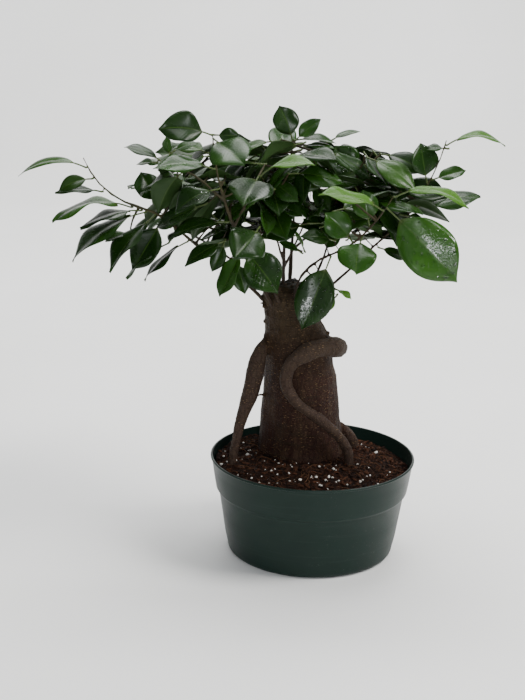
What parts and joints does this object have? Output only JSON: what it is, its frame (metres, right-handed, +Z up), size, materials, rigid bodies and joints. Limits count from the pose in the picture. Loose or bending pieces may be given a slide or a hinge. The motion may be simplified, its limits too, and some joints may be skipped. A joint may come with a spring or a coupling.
{
  "type": "potted bonsai tree",
  "caption": "Bonsai fig with a swollen trunk, aerial roots and a spreading leafy crown, growing in soil in a round tapered nursery pot.",
  "frame": {"origin": "centre of the pot's flat base, on the surface the pot stands on", "axes": "+Z up; -Y the front, the side that the looping aerial root crosses; +X to the right seen from the front"},
  "size_m": [0.4609, 0.2938, 0.4398],
  "materials": {
    "pot_plastic": "satin",
    "soil": "loose grains, dull",
    "bark": "rough bark with pale cross bands",
    "root_bark": "smooth bark",
    "twig": "fine bark",
    "leaf_green": "waxy gloss",
    "leaf_young": "waxy gloss"
  },
  "bodies": {
    "root": {"branch_centre": "twig", "branch_front": "twig", "branch_left_low": "twig", "branch_left_rear": "twig", "branch_left_top": "twig", "branch_rear": "twig", "branch_right_front": "twig", "branch_right_long": "twig", "branch_right_upper": "twig", "leaf_centre_1": "leaf_green", "leaf_centre_2": "leaf_green", "leaf_centre_3": "leaf_green", "leaf_front_1": "leaf_green", "leaf_front_2": "leaf_green", "leaf_front_3": "leaf_green", "leaf_left_low_1": "leaf_green", "leaf_left_low_2": "leaf_green", "leaf_left_low_3": "leaf_green", "leaf_left_low_4": "leaf_green", "leaf_left_low_5": "leaf_green", "leaf_left_low_6": "leaf_green", "leaf_left_low_7": "leaf_green", "leaf_left_low_8": "leaf_green", "leaf_left_rear_1": "leaf_green", "leaf_left_rear_2": "leaf_green", "leaf_left_rear_3": "leaf_green", "leaf_left_rear_4": "leaf_green", "leaf_left_top_1": "leaf_green", "leaf_left_top_2": "leaf_green", "leaf_left_top_3": "leaf_green", "leaf_left_top_4": "leaf_green", "leaf_left_top_5": "leaf_green", "leaf_left_top_6": "leaf_green", "leaf_left_top_7": "leaf_green", "leaf_left_top_8": "leaf_green", "leaf_left_top_9": "leaf_young", "leaf_rear_1": "leaf_green", "leaf_rear_2": "leaf_green", "leaf_rear_3": "leaf_green", "leaf_rear_4": "leaf_green", "leaf_rear_5": "leaf_green", "leaf_right_front_1": "leaf_young", "leaf_right_front_2": "leaf_green", "leaf_right_front_3": "leaf_green", "leaf_right_front_4": "leaf_green", "leaf_right_front_5": "leaf_green", "leaf_right_front_6": "leaf_green", "leaf_right_front_7": "leaf_young", "leaf_right_long_1": "leaf_green", "leaf_right_long_2": "leaf_green", "leaf_right_long_3": "leaf_green", "leaf_right_long_4": "leaf_green", "leaf_right_upper_1": "leaf_green", "leaf_right_upper_2": "leaf_green", "pot": "pot_plastic", "prop_root_left": "root_bark", "prop_root_looping": "root_bark", "root_right_rear": "root_bark", "soil": "soil", "trunk": "bark"}
  },
  "joints": []
}
